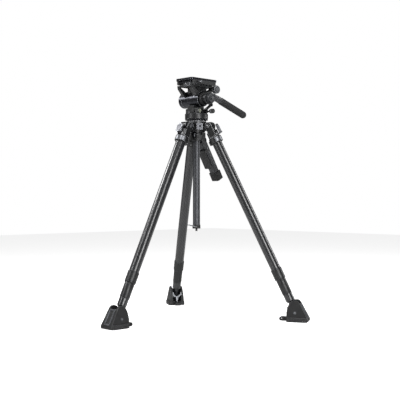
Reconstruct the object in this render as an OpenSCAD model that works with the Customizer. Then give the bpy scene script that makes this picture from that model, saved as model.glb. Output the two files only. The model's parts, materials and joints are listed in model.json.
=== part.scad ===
/* [Stance] */
// Angle of each leg from the vertical
leg_angle = 25.55; // [20:0.05:27]
// Distance of a leg hinge outside the crown's hub
hinge_out = 18.3; // [16:0.1:26]
// Height of the ankle pins above the ground
ankle_z = 34.1; // [33:0.1:38]
// Length of the ankle's neck below the end fitting
neck_len = 44.2; // [36:0.1:60]

/* [Crown] */
// Wall of the crown's hub round the column
hub_wall = 20; // [17:0.5:22]
// Height of the crown's hub and arms above the hinge line
crown_rise = 15; // [12:0.5:16]
// Depth of the hub below the hinge line
hub_drop = 21; // [18:0.5:23]
// Depth of the arms below the hinge line
arm_drop = 17; // [14:0.5:20]
// Half width of a crown arm
arm_half = 16; // [13:0.5:18]
// Wall of a crown arm's rounded end round the hinge pin
arm_end_wall = 15; // [10:0.5:16]
// Thickness of a hinge cheek on the leg head
cheek_t = 7; // [5:0.5:9]
// Wall of a hinge cheek round the hinge pin
cheek_wall = 8; // [5:0.5:9]
// Radius of a hinge pin
pin_r = 5; // [3:0.1:6]
// How far a hinge pin's head stands out round the pin
pin_head_step = 3; // [2:0.5:4]
// Thickness of a hinge pin's head
pin_head_t = 2.6; // [1:0.1:4]

/* [Accessory socket] */
// Width of the accessory block
socket_w = 24; // [18:1:28]
// Height of the accessory block
socket_h = 25; // [20:1:28]
// Reach of the accessory block out from the hub
socket_d = 14; // [10:1:16]
// Core radius of the accessory thread
socket_r = 4.1; // [2.5:0.1:4.5]
// Depth of the accessory thread
socket_depth = 12; // [8:1:13]

/* [Column] */
// Radius of the column
column_r = 14; // [11:0.5:15]
// Wall of the column tube
column_wall = 2; // [1:0.1:4]
// Length of the column below the plate on its top
column_len = 400; // [320:1:440]
// How far the plate on top of the column stands out round the tube
column_top_step = 24; // [18:1:28]
// Thickness of the plate on top of the column
column_top_t = 6.7; // [4:0.1:10]
// Wall of the column clamp
clamp_wall = 9.6; // [7:0.1:10.6]
// Height of the column clamp
clamp_h = 35; // [28:1:40]
// How far the column's end cap stands out round the tube
cap_step = 1.6; // [1.5:0.1:4]
// Height of the column's end cap
cap_h = 14; // [12:1:20]
// Reach of the hook below the column's cap
hook_len = 34; // [28:1:44]
// Gap between the hook's wires and the end cap
hook_gap = 1.4; // [0.8:0.1:3]
// Radius of the hook's wire
hook_wire = 1.5; // [1:0.1:2]

/* [Handle] */
// Angle of the release handle from the vertical
handle_angle = 31; // [24:1:33]
// Length of the release handle from its root to its end
handle_len = 188; // [160:1:200]
// Width of the release handle
handle_w = 32; // [26:1:34]
// Thickness of the release handle
handle_t = 25; // [20:1:27]
// Distance of the handle's root from the column
handle_out = 6; // [4:0.5:9]
// Reach of the handle's seat out from the root
seat_out = 15; // [10:1:17]
// Distance of the trigger's pin down the handle
trigger_down = 52; // [48:1:60]
// Length of the handle's rubber end
tip_len = 34; // [20:1:50]
// How far the rubber end stands out round the handle
tip_flare = 4; // [1:0.5:5]
// Length of the trigger
trigger_len = 76; // [60:1:84]
// Thickness of the trigger
trigger_t = 4; // [3:0.5:5]
// Gap between the trigger and the handle
trigger_gap = 7; // [6:0.5:8]

/* [Legs] */
// Outer radius of a leg's upper tube
upper_r = 18.8; // [17:0.1:20]
// Wall of a leg's tubes
tube_wall = 1.7; // [1:0.1:2.2]
// Gap between tubes that slide in each other
tube_gap = 0.35; // [0.3:0.05:0.6]
// Wall of a leg's top collar
top_collar_wall = 6.2; // [5:0.1:7.2]
// Length of the leg head between the crown's arm and the top collar
head_len = 29; // [26:1:33]
// Length of the top collar
top_collar_len = 24; // [20:1:40]
// Wall of the joint collar
joint_wall = 2.2; // [1.5:0.1:4]
// Length of the upper tube above the joint collar
upper_len = 559; // [470:1:590]
// Length of the joint collar
joint_len = 44; // [20:1:48]
// How far the middle tube's end sleeve stands out round the tube
sleeve_step = 1.45; // [1.2:0.05:3]
// Length of the middle tube's end sleeve
sleeve_len = 59; // [20:1:60]
// Length of the lower tube's end fitting
fitting_len = 32; // [20:1:33]
// How far the lower tube's end fitting stands out round the tube
fitting_step = 2.8; // [2:0.1:5]
// Length of the middle tube inside the upper tube
middle_in = 482; // [300:1:560]
// Length of the lower tube inside the middle tube
lower_in = 471; // [300:1:500]
// Length of the oval leg latch
latch_len = 40; // [34:1:44]
// Width of the oval leg latch
latch_w = 30; // [24:1:34]
// Thickness of the oval leg latch
latch_t = 6; // [4:0.5:8]

/* [Feet] */
// Length of a foot's sole on the outer side of the ankle
foot_fore = 50; // [46:1:64]
// Length of a foot's sole on the inner side of the ankle
foot_aft = 32; // [26:1:40]
// How far a foot's sole stands out beside its cheeks
sole_step = 4; // [2:0.5:6]
// Thickness of a foot's sole
sole_t = 16; // [10:1:18]
// Height of a foot's cheeks above the ankle
foot_rise = 46; // [30:1:48]
// Thickness of a foot's cheeks where they stand on the sole
foot_cheek = 12; // [9:0.5:13]
// Gap between the end fitting and a foot's cheeks
slot_gap = 1.5; // [0.8:0.1:3]
// Radius of the ankle knuckle
knuckle_r = 13; // [10:0.5:14]
// How much slimmer the neck above the knuckle is
neck_step = 1.5; // [1:0.5:3]
// Radius of the ankle pin
ankle_pin_r = 3; // [2:0.1:4]
// Length of the foot's pull tab
tab_len = 32; // [20:1:36]

/* [Head] */
// Radius of the head's base flange
base_r = 45; // [42:1:50]
// Height of the head's base flange above the column's plate
base_h = 28; // [24:1:34]
// Radius of the pan spigot
spigot_r = 12; // [8:0.5:14]
// Half length of the pan housing across the head
housing_half_x = 33; // [28:1:36]
// Half width of the pan housing along the head
housing_half_y = 31; // [26:1:33]
// Height of the pan housing's wide part
housing_h = 18; // [14:1:20]
// Radius of the pan lock's knob
lock_r = 7.8; // [6:0.1:8.5]
// Radius of the round spirit level
vial_r = 8; // [5:0.5:8.5]
// Height of the drum's middle part above the pan housing
drum_lift = 7.5; // [6:0.1:14]
// Radius of the fluid drum
drum_r = 29.5; // [24:0.5:30]
// Length of the drum's middle part on the side away from the pan bar
drum_mid_low = 22; // [18:1:26]
// Length of the drum's middle part on the side of the pan bar
drum_mid_high = 13; // [9:1:17]
// Length of the drum's outer part away from the pan bar
drum_side_low = 52; // [40:1:60]
// Length of the drum's outer part beside the pan bar
drum_side_high = 24; // [20:1:32]
// Radius of the tilt axle
axle_r = 8; // [6:0.5:9]
// How much smaller than the drum the drag ring is
drag_step = 5.5; // [3:0.5:8]
// Length of the drag ring
drag_len = 12.5; // [8:0.5:16]
// How much smaller than the drum the rosette is
rosette_step = 5; // [2:0.5:7]
// Thickness of the rosette
rosette_t = 8; // [5:0.5:10]

/* [Camera clamp] */
// Half width of the camera clamp
deck_half_x = 48; // [44:1:50]
// Half length of the camera clamp
deck_half_y = 63; // [56:1:66]
// Height of the camera clamp's underside above the drum
deck_lift = 22; // [18:0.5:26]
// Thickness of the camera clamp's floor
deck_t = 8; // [6:0.5:10]
// How far the clamp's floor stays inside its jaws
deck_inset = 8; // [4:0.5:9]
// Height of the clamp's jaws above its floor
jaw_h = 9.5; // [8:0.5:11]
// Width of each jaw
jaw_w = 11; // [8:0.5:12]
// How far the sliding plate reaches past each end of the clamp
plate_reach = 7; // [0:0.5:8]
// Thickness of the sliding plate above the jaws
plate_t = 8.6; // [6:0.1:10]
// Radius of the camera screw
stud_r = 3.175; // [3.175:0.001:4.763]
// Reach of the camera screw above the plate
stud_h = 5.5; // [4:0.5:7]
// Radius of the plate lock knob
knob_r = 15.5; // [12:0.5:16]
// Thickness of the plate lock knob
knob_t = 17; // [12:1:17]

/* [Pan bar] */
// Angle of the pan bar below the horizontal
bar_angle = 19.4; // [10:0.1:30]
// Offset of the pan bar from its bolt
bar_offset = 10; // [8:0.5:12]
// Radius of the pan bar's grip
grip_r = 14; // [12:0.5:16]
// Length of the bar's clamp before the grip
grip_start = 50; // [44:1:56]
// Length of the grip
grip_len = 150; // [120:1:180]
// How much slimmer than the grip the bar's clamp collar is
bar_collar_step = 2.5; // [1.5:0.5:4]

/* [Hidden] */

$fn = 64;

// Clearance between faces that move past each other
run_gap = 0.4;
// Radial clearance of a pin in its bore
pin_gap = 0.05;
// Extra reach of a cutting shape past the face it cuts
over = 1;

// Direction of each leg seen from above, the first towards the front of the head
leg_turns = [-90, 30, 150];
// Direction of the face between the first two legs
socket_turn = -30;
// Direction of the column clamp's lever
lever_turn = -22;
// Direction in which the column's hook stands
hook_turn = 226;

hub_r = column_r + hub_wall;
hinge_r = hub_r + hinge_out;
arm_end_r = pin_r + arm_end_wall;
cheek_r = pin_r + cheek_wall;
pin_head_r = pin_r + pin_head_step;
column_top_r = column_r + column_top_step;
clamp_r = column_r + run_gap + clamp_wall;
cap_r = column_r + cap_step;
hook_w = 2 * (cap_r + hook_gap + hook_wire);
handle_y = column_r + handle_out;
top_collar_r = upper_r + top_collar_wall;
top_collar_s = arm_end_r + head_len;
joint_r = upper_r + joint_wall;
middle_r = upper_r - tube_wall - tube_gap;
lower_r = middle_r - tube_wall - tube_gap;
sleeve_r = middle_r + sleeve_step;
fitting_r = lower_r + fitting_step;
joint_s = top_collar_s + upper_len;
upper_end_s = joint_s + joint_len;
sleeve_s = upper_end_s + run_gap;
fitting_s = sleeve_s + sleeve_len + run_gap;
middle_top_s = upper_end_s - middle_in;
lower_top_s = sleeve_s + sleeve_len - lower_in;
neck_s = fitting_s + fitting_len;
ankle_s = neck_s + neck_len;
neck_r = knuckle_r - neck_step;
foot_slot = fitting_r + slot_gap;
foot_half = foot_slot + foot_cheek;
sole_half = foot_half + sole_step;
ankle_r = hinge_r + ankle_s * sin(leg_angle);
foot_in = ankle_r - foot_aft;
foot_out = ankle_r + foot_fore;
foot_len = foot_aft + foot_fore;
foot_h = ankle_z + foot_rise;
hinge_z = ankle_z + ankle_s * cos(leg_angle);
crown_top = hinge_z + crown_rise;
crown_low = hinge_z - hub_drop;
clamp_low = crown_low - clamp_h;
column_plate_z = crown_top + run_gap;
column_low = column_plate_z - column_len;
base_z = column_plate_z + column_top_t;
base_top = base_z + base_h;
housing_z = base_top + run_gap;
tilt_z = housing_z + housing_h + drum_lift + drum_r;
deck_rise = drum_r + deck_lift;
deck_z = tilt_z + deck_rise;
jaw_z = deck_z + deck_t;
plate_z = jaw_z + jaw_h + run_gap;
plate_top = plate_z + plate_t;
plate_half_y = deck_half_y + plate_reach;
seam_low_x = -drum_mid_low;
seam_high_x = drum_mid_high;
drum_low_x = seam_low_x - drum_side_low;
drum_high_x = seam_high_x + drum_side_high;
drag_r = drum_r - drag_step;
rosette_r = drum_r - rosette_step;
rosette_hub = 15.7;
trunk_top = tilt_z - 0.84 * drum_r;
rosette_x = drum_high_x + run_gap + drag_len + run_gap + rosette_hub;
bar_x = rosette_x + rosette_t + 0.2;
bar_clamp_t = 13;
bar_collar_r = grip_r - bar_collar_step;
strut_y = deck_half_y - 3;
strut_low_z = tilt_z + 0.44 * drum_r;
knob_y = strut_y - 10;
stud_gap = 0.3;
front_x = -7;
front_w = 44;
lock_y = 14;
knob_z = deck_z - 13;
strut_high_x = drum_high_x - 1;
strut_low_x = seam_low_x - 24;
socket_face = hub_r + 21;
socket_z = hinge_z - 3;

cheek_in = arm_half + run_gap;
cheek_out = cheek_in + cheek_t;
latch_pin_x = -top_collar_r + 8.5;
latch_pin_s = top_collar_s - 7;
neck_half = 8;

// Turns a shape built along +X to point along one leg
module towards_leg(i) {
    rotate([0, 0, leg_turns[i]])
        children();
}

// Turns +Z to run down one leg from its hinge, with +X on its inner side
module down_leg(i) {
    towards_leg(i)
        translate([hinge_r, 0, hinge_z])
            rotate([0, 180 - leg_angle, 0])
                children();
}

// Round bar between two places on X
module x_bar(r, x0, x1, y = 0, z = 0) {
    translate([x0, y, z])
        rotate([0, 90, 0])
            cylinder(r = r, h = x1 - x0);
}

// Round bar between two places on Y
module y_bar(r, y0, y1, x = 0, z = 0) {
    translate([x, y0, z])
        rotate([-90, 0, 0])
            cylinder(r = r, h = y1 - y0);
}

// Block between two places on each axis
module block(x0, x1, y0, y1, z0, z1) {
    translate([x0, y0, z0])
        cube([x1 - x0, y1 - y0, z1 - z0]);
}

// Flat plate with round corners
module round_plate(half_x, half_y, h, r) {
    linear_extrude(height = h)
        rounded(half_x, half_y, r);
}

module rounded(half_x, half_y, r) {
    union() {
        square([2 * half_x, 2 * (half_y - r)], center = true);
        square([2 * (half_x - r), 2 * half_y], center = true);
        for (sx = [-1, 1], sy = [-1, 1])
            translate([sx * (half_x - r), sy * (half_y - r)])
                circle(r = r);
    }
}

// Oval outline, long along X
module oval(len, w) {
    union() {
        square([len - w, w], center = true);
        for (s = [-1, 1])
            translate([s * (len - w) / 2, 0])
                circle(r = w / 2);
    }
}

// Hub with three arms that carry the leg hinges
module crown() {
    color("#26272a")
        difference() {
            union() {
                translate([0, 0, crown_low])
                    cylinder(r = hub_r, h = crown_top - crown_low);
                translate([0, 0, crown_top - 5])
                    cylinder(r = column_top_r + 3, h = 5);
                for (i = [0:2])
                    towards_leg(i)
                        intersection() {
                            union() {
                                y_bar(arm_end_r, -arm_half, arm_half, hinge_r, hinge_z);
                                block(0, hinge_r, -arm_half, arm_half,
                                    hinge_z - arm_drop, hinge_z + arm_end_r);
                            }
                            block(0, hinge_r + arm_end_r + over, -arm_half, arm_half,
                                hinge_z - arm_end_r - over, crown_top);
                        }
            }
            translate([0, 0, crown_low - over])
                cylinder(r = column_r + run_gap, h = crown_top - crown_low + 2 * over);
            for (i = [0:2])
                towards_leg(i)
                    y_bar(pin_r, -arm_half - over, arm_half + over, hinge_r, hinge_z);
        }
}

// Three hinge pins, each with two round heads
module hinge_pins() {
    color("#b9bbbd")
        for (i = [0:2])
            towards_leg(i)
                union() {
                    y_bar(pin_r, -cheek_out - 0.3, cheek_out + 0.3, hinge_r, hinge_z);
                    for (s = [-1, 1])
                        translate([hinge_r, s * (cheek_out + 0.3), hinge_z])
                            rotate([s * -90, 0, 0])
                                difference() {
                                    cylinder(r = pin_head_r, h = pin_head_t);
                                    translate([0, 0, pin_head_t - 1.2])
                                        cylinder(r = 3, h = 1.2 + over, $fn = 6);
                                }
                }
}

// Stepped block on the hub's face with a threaded hole for an arm
module accessory_block() {
    color("#9c9fa2")
        rotate([0, 0, socket_turn])
            difference() {
                union() {
                    block(hub_r - 2, socket_face - 1.6, -socket_w / 2, socket_w / 2,
                        socket_z - socket_h / 2, socket_z + socket_h / 2);
                    block(hub_r - 2, socket_face, -socket_w / 2, socket_w / 2,
                        socket_z - socket_h / 2, socket_z - 0.6);
                    block(hub_r - 2, socket_face, -socket_w / 2 + 2, socket_w / 2 - 2,
                        socket_z + 0.6, socket_z + socket_h / 2 - 1.5);
                }
                translate([0, 0, socket_z - socket_h])
                    cylinder(r = hub_r, h = 2 * socket_h);
                translate([0, 0, crown_top - 5])
                    cylinder(r = column_top_r + 3, h = 5 + over);
                x_bar(socket_r, socket_face - socket_depth, socket_face + over, 0, socket_z);
            }
}

// Split collar under the hub that holds the column, with a seat for the handle
module column_clamp() {
    color("#1d1e20")
        difference() {
            union() {
                translate([0, 0, clamp_low])
                    cylinder(r = clamp_r, h = clamp_h);
                block(-handle_w / 2 + 1, handle_w / 2 - 1, 0, handle_y + seat_out,
                    clamp_low, clamp_low + clamp_h - 1);
                rotate([0, 0, lever_turn])
                    block(0, clamp_r + 2, -9, 9, clamp_low + 3, clamp_low + 23);
            }
            translate([0, 0, clamp_low - over])
                cylinder(r = column_r + run_gap, h = clamp_h + 2 * over);
            rotate([0, 0, lever_turn + 4])
                block(column_r + 4, clamp_r + 6, -11, 11, clamp_low + clamp_h - 9,
                    clamp_low + clamp_h - 3);
            rotate([0, 0, lever_turn])
                x_bar(3, column_r + 4, clamp_r + 3, 0, clamp_low + 12);
        }
}

// Wing lever that tightens the column clamp
module clamp_lever() {
    color("#2b2c2f")
        rotate([0, 0, lever_turn])
            union() {
                x_bar(3 - pin_gap, column_r + 5, clamp_r + 4, 0, clamp_low + 12);
                x_bar(6, clamp_r + 2 + run_gap, clamp_r + 8, 0, clamp_low + 12);
                translate([clamp_r + 3, 0, clamp_low + 12])
                    rotate([32, 0, 0])
                        rotate([0, 90, 0])
                            linear_extrude(height = 4)
                                rotate(90)
                                    oval(24, 9);
            }
}

// Turns -Z to run down the release handle from its root, with +Y on its outer side
module down_handle() {
    translate([0, handle_y, clamp_low + 14])
        rotate([handle_angle, 0, 0])
            children();
}

// Box-section grip of the leg release
module handle_arm() {
    color("#303134")
        difference() {
            union() {
                down_handle()
                    translate([0, 0, -handle_len + tip_len])
                        round_plate(handle_w / 2, handle_t / 2, handle_len - tip_len - 10, 5);
                down_handle()
                    translate([0, 0, -handle_len + 6])
                        round_plate(handle_w / 2 - 4, handle_t / 2 - 4, tip_len, 3);
                down_handle()
                    x_bar(handle_t / 2 + 1, -handle_w / 2, handle_w / 2, 0, -12);
            }
            block(-handle_w, handle_w, -handle_w, handle_y - 1, clamp_low - 60, clamp_low);
            block(-handle_w, handle_w, -handle_w, handle_y + seat_out, clamp_low,
                clamp_low + 2 * clamp_h);
            down_handle()
                x_bar(2.5, -handle_w, handle_w, -handle_t / 2 + 4, -trigger_down);
        }
}

// Flared rubber end of the release handle
module handle_tip() {
    color("#161617")
        down_handle()
            translate([0, 0, -handle_len])
                difference() {
                    round_plate(handle_w / 2 + tip_flare, handle_t / 2 + tip_flare,
                        tip_len, 7);
                    translate([0, 0, 6])
                        round_plate(handle_w / 2 - 4, handle_t / 2 - 4, tip_len, 3);
                }
}

// Finger lever on the inner side of the handle, on a cross pin
module handle_trigger() {
    color("#1a1a1b")
        down_handle()
            difference() {
                union() {
                    x_bar(2.5 - pin_gap, -handle_w / 2 + 1, handle_w / 2 - 1,
                        -handle_t / 2 + 4, -trigger_down);
                    for (s = [-1, 1])
                        block(s * (handle_w / 2 + 1.9) - 1.5, s * (handle_w / 2 + 1.9) + 1.5,
                            -handle_t / 2 - trigger_gap, -handle_t / 2 + 7,
                            -trigger_down - 6, -trigger_down + 4);
                    for (s = [-1, 1])
                        x_bar(2.5 - pin_gap, min(s * (handle_w / 2 - 1), s * (handle_w / 2 + 2)),
                            max(s * (handle_w / 2 - 1), s * (handle_w / 2 + 2)),
                            -handle_t / 2 + 4, -trigger_down);
                    block(-handle_w / 2 - 3.4, handle_w / 2 + 3.4,
                        -handle_t / 2 - trigger_gap - trigger_t, -handle_t / 2 - trigger_gap,
                        -trigger_down - trigger_len, -trigger_down + 4);
                }
            }
}

// Column tube with the plate that carries the head
module column_tube() {
    color("#2f3033")
        difference() {
            union() {
                translate([0, 0, column_low])
                    cylinder(r = column_r, h = column_plate_z - column_low + 1);
                translate([0, 0, column_plate_z])
                    cylinder(r = column_top_r, h = column_top_t);
            }
            translate([0, 0, column_low - over])
                cylinder(r = column_r - column_wall, h = column_plate_z - column_low - 6);
        }
}

// Plug in the column's lower end, with a threaded stub and two lugs for the hook
module column_cap() {
    color("#232426")
        difference() {
            union() {
                translate([0, 0, column_low - cap_h])
                    cylinder(r = cap_r, h = cap_h);
                translate([0, 0, column_low])
                    cylinder(r = column_r - column_wall, h = 12);
                translate([0, 0, column_low - cap_h - 10])
                    cylinder(r = 4, h = 11);
            }
            rotate([0, 0, hook_turn])
                for (s = [-1, 1])
                    y_bar(hook_wire + pin_gap, s < 0 ? -cap_r - over : cap_r - 4,
                        s < 0 ? -cap_r + 4 : cap_r + over, 0, column_low - cap_h / 2);
        }
}

// Wire bail for a counterweight
module column_hook() {
    color("#a8a9ab")
        rotate([0, 0, hook_turn])
            translate([0, 0, column_low - cap_h / 2])
                rotate([0, -12, 0])
                    union() {
                        for (s = [-1, 1]) {
                            y_bar(hook_wire, s < 0 ? -hook_w / 2 : cap_r - 3,
                                s < 0 ? -cap_r + 3 : hook_w / 2);
                            x_bar(hook_wire, 0, hook_len - 8, s * hook_w / 2);
                            translate([0, s * hook_w / 2, 0])
                                sphere(r = hook_wire);
                            translate([hook_len - 8, s * (hook_w / 2 - 8), 0])
                                rotate([0, 0, s < 0 ? -90 : 0])
                                    rotate_extrude(angle = 90)
                                        translate([8, 0])
                                            circle(r = hook_wire, $fn = 24);
                        }
                        y_bar(hook_wire, -hook_w / 2 + 8, hook_w / 2 - 8, hook_len);
                    }
}

// Flange of the head with the spigot that it pans on
module head_base() {
    color("#303135")
        union() {
            rotate_extrude()
                polygon([
                    [0, base_z], [base_r - 8, base_z], [base_r, base_z + 7],
                    [base_r, base_top - 2], [base_r - 2, base_top], [0, base_top]
                ]);
            translate([0, 0, base_top - 1])
                cylinder(r = spigot_r, h = 14);
        }
}

// Housing that turns on the base and carries the drum
module pan_housing() {
    color("#3a3b3e")
        difference() {
            union() {
                translate([0, 0, housing_z])
                    round_plate(housing_half_x, housing_half_y, housing_h, 8);
                block(seam_low_x, seam_high_x, -housing_half_y + 3, housing_half_y - 3,
                    housing_z + housing_h - 1, trunk_top);
            }
            x_bar(drum_r + run_gap, -housing_half_x - over, seam_low_x + 0.3, 0, tilt_z);
            x_bar(drum_r, seam_low_x, seam_high_x, 0, tilt_z);
            x_bar(drum_r + run_gap, seam_high_x - 0.3, housing_half_x + over, 0, tilt_z);
            translate([0, 0, housing_z - over])
                cylinder(r = spigot_r + 4, h = 14 + over);
            block(8, 24, -housing_half_y - over, -housing_half_y + 3,
                housing_z + 2, housing_z + 13);
            x_bar(3.5, housing_half_x - 14, housing_half_x + over, lock_y, housing_z + 6);
            x_bar(3, housing_half_x - 14, housing_half_x + over, 0, housing_z + 14);
        }
}

// Plain bearing between the pan spigot and the housing
module pan_bearing() {
    color("#a07840")
        translate([0, 0, housing_z])
            difference() {
                cylinder(r = spigot_r + 4, h = 13);
                translate([0, 0, -over])
                    cylinder(r = spigot_r + pin_gap, h = 13 + 2 * over);
            }
}

// Round spirit level on the side of the housing
module level_vial() {
    color("#cfd6c0")
        x_bar(vial_r, housing_half_x, housing_half_x + 2.2, vial_r - housing_half_y + 7.5,
            housing_z + housing_h / 2);
}

// Ribbed knob on a stalk that locks the pan
module pan_lock_knob() {
    color("#1f2022")
        union() {
            x_bar(3.5 - pin_gap, housing_half_x - 12, housing_half_x + 34, lock_y, housing_z + 6);
            x_bar(5.5, housing_half_x + run_gap, housing_half_x + 14, lock_y, housing_z + 6);
            x_bar(lock_r - 0.3, housing_half_x + 30, housing_half_x + 48, lock_y, housing_z + 6);
            for (a = [0:30:330])
                translate([0, lock_y, housing_z + 6])
                    rotate([a, 0, 0])
                        x_bar(1.2, housing_half_x + 31, housing_half_x + 47, lock_r - 0.6);
        }
}

// Lever on the housing that locks the tilt
module tilt_lock_lever() {
    color("#222326")
        union() {
            x_bar(3 - pin_gap, housing_half_x - 12, housing_half_x + 22, 0, housing_z + 14);
            x_bar(5.5, housing_half_x + 18, housing_half_x + 27, 0, housing_z + 14);
            translate([housing_half_x + 19, 0, housing_z + 14])
                rotate([36, 0, 0])
                    block(0, 7, 0, 31, -4.5, 4.5);
            translate([0, 31 * cos(36), housing_z + 14 + 31 * sin(36)])
                x_bar(6.5, housing_half_x + 18.5, housing_half_x + 26.5);
        }
}

// Middle of the drum, fixed to the housing
module tilt_drum() {
    color("#2a2b2e")
        difference() {
            x_bar(drum_r, seam_low_x + run_gap, seam_high_x - run_gap, 0, tilt_z);
            x_bar(axle_r + pin_gap, seam_low_x - over, seam_high_x + over, 0, tilt_z);
        }
}

// Two outer parts of the drum, which tilt with the camera clamp
module drum_sides() {
    color("#3c3d41")
        union() {
            difference() {
                translate([drum_low_x, 0, tilt_z])
                    rotate([0, 90, 0])
                        rotate_extrude()
                            polygon([
                                [0, 0], [drum_r - 3, 0], [drum_r - 1, 1], [drum_r, 3],
                                [drum_r, seam_low_x - drum_low_x], [0, seam_low_x - drum_low_x]
                            ]);
                x_bar(axle_r, drum_low_x + 6, seam_low_x + over, 0, tilt_z);
                translate([drum_low_x - over, 0, tilt_z])
                    rotate([0, 90, 0])
                        cylinder(r = drum_r - 7, h = over + 1.5);
            }
            difference() {
                x_bar(drum_r, seam_high_x, drum_high_x, 0, tilt_z);
                x_bar(axle_r, seam_high_x - over, drum_high_x + over, 0, tilt_z);
            }
        }
}

// Axle through the drum that the camera clamp tilts on
module tilt_axle() {
    color("#b0b2b4")
        x_bar(axle_r, drum_low_x + 6, rosette_x - 4, 0, tilt_z);
}

// Strut of the cradle, leaning in towards the drum
module strut(x0, x1, s) {
    rotate([90, 0, 90])
        translate([0, 0, x0])
            linear_extrude(height = x1 - x0)
                polygon([
                    [s * strut_y, deck_z], [s * (strut_y - 2), deck_z - 12],
                    [s * (drum_r + 5.5), strut_low_z], [s * 12, strut_low_z],
                    [s * 12, tilt_z + drum_r - 1.5], [s * (drum_r - 3.5), tilt_z + drum_r - 0.5],
                    [s * (strut_y - 10), deck_z - 7], [s * (strut_y - 10), deck_z]
                ]);
}

// Cradle with four leaning struts and a middle block over the drum
module tilt_cradle() {
    color("#2d2e31")
        difference() {
            union() {
                for (s = [-1, 1]) {
                    strut(strut_low_x, strut_low_x + 12, s);
                    strut(strut_high_x - 18, strut_high_x, s);
                }
                block(seam_low_x - 7, seam_high_x + 16, -20, 27, tilt_z + drum_r - 3.5, deck_z);
                block(strut_low_x, strut_high_x, -14, 22, tilt_z + drum_r - 3.5,
                    tilt_z + drum_r + 3.5);
                block(strut_low_x, strut_high_x, -strut_y, strut_y, deck_z - 4, deck_z);
            }
            x_bar(3 + pin_gap, strut_high_x - 13, strut_high_x + over, knob_y, knob_z);
            x_bar(drum_r, strut_low_x - over, seam_low_x, 0, tilt_z);
            x_bar(drum_r + run_gap, seam_low_x - 0.1, seam_high_x + 0.1, 0, tilt_z);
            x_bar(drum_r, seam_high_x, strut_high_x + over, 0, tilt_z);
        }
}

// Dial that sets the tilt drag
module drag_ring() {
    color("#27282b")
        difference() {
            union() {
                x_bar(drag_r - 1, drum_high_x + run_gap, drum_high_x + run_gap + drag_len, 0, tilt_z);
                for (a = [0:15:345])
                    translate([0, 0, tilt_z])
                        rotate([a, 0, 0])
                            x_bar(1.3, drum_high_x + run_gap + 1,
                                drum_high_x + run_gap + drag_len - 1, drag_r - 1.3);
            }
            x_bar(axle_r + pin_gap, drum_high_x, drum_high_x + 20, 0, tilt_z);
        }
}

// Push button on the rosette's hub
module drag_button() {
    color("#d0d1d2")
        y_bar(3.5, -19.5, -10, rosette_x - 6, tilt_z + 4);
}

// Disc on the end of the axle that the pan bar clamps to
module rosette() {
    color("#35363a")
        difference() {
            union() {
                x_bar(17, rosette_x - rosette_hub, rosette_x + 1, 0, tilt_z);
                x_bar(rosette_r, rosette_x, rosette_x + rosette_t, 0, tilt_z);
            }
            x_bar(axle_r, rosette_x - 17, rosette_x - 4, 0, tilt_z);
            x_bar(4, rosette_x - 5, rosette_x + rosette_t + over, 0, tilt_z);
            y_bar(3.5 + pin_gap, -20, -9, rosette_x - 6, tilt_z + 4);
        }
}

// Bolt that holds the pan bar on the rosette
module bar_bolt() {
    color("#c6c7c9")
        union() {
            x_bar(4, rosette_x - 3, bar_x + bar_clamp_t + 1, 0, tilt_z);
            x_bar(7, bar_x + bar_clamp_t, bar_x + bar_clamp_t + 5, 0, tilt_z);
        }
}

// Places a shape built along +X on the pan bar's line
module along_bar() {
    translate([bar_x + bar_clamp_t / 2, 0, tilt_z])
        rotate([-bar_angle, 0, 0])
            translate([0, 0, bar_offset])
                rotate([0, 0, 90])
                    children();
}

// Clamp that joins the pan bar to the rosette
module bar_clamp() {
    color("#202124")
        difference() {
            union() {
                x_bar(18, bar_x, bar_x + bar_clamp_t, 0, tilt_z);
                intersection() {
                    along_bar()
                        x_bar(bar_collar_r, 9, grip_start);
                    block(bar_x, bar_x + 2 * bar_clamp_t, -20, 100, tilt_z - 60, tilt_z + 60);
                }
                along_bar()
                    x_bar(bar_collar_r + 1, grip_start - 22, grip_start);
            }
            x_bar(4 + pin_gap, bar_x - over, bar_x + bar_clamp_t + over, 0, tilt_z);
        }
}

// Grip of the pan bar with a round end
module bar_grip() {
    color("#2c2c2e")
        along_bar()
            union() {
                translate([grip_start, 0, 0])
                    rotate([0, 90, 0])
                        cylinder(r1 = grip_r - 1, r2 = grip_r, h = 3);
                x_bar(grip_r, grip_start + 3, grip_start + grip_len - grip_r);
                translate([grip_start + grip_len - grip_r, 0, 0])
                    intersection() {
                        sphere(r = grip_r);
                        block(-over, 2 * grip_r, -grip_r, grip_r, -grip_r, grip_r);
                    }
            }
}

// Floor, jaws and front block that hold the sliding plate
module clamp_platform() {
    color("#3b3c40")
        difference() {
            union() {
                translate([0, 0, deck_z])
                    round_plate(deck_half_x - deck_inset, deck_half_y - deck_inset, deck_t, 9);
                for (s = [-1, 1])
                    translate([s * (deck_half_x - jaw_w / 2), 0, deck_z + 4])
                        round_plate(jaw_w / 2, deck_half_y - 2, jaw_z + jaw_h - deck_z - 4, 4);
                block(front_x, front_x + front_w, -deck_half_y, -deck_half_y + 14,
                    deck_z, jaw_z);
                block(front_x, front_x + front_w, -deck_half_y, -strut_y - 0.4,
                    deck_z - 8, deck_z + over);
                for (x = [front_x + 3:front_w / 6:front_x + front_w - 2])
                    block(x, x + front_w / 12, -deck_half_y - 1.6, -deck_half_y + over,
                        deck_z - 6, jaw_z - 2);
            }
            translate([deck_half_x - 8, -26, jaw_z + jaw_h / 2])
                rotate([0, 90, 0])
                    rotate(90)
                        linear_extrude(height = 10)
                            oval(26, 9);
        }
}

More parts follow.
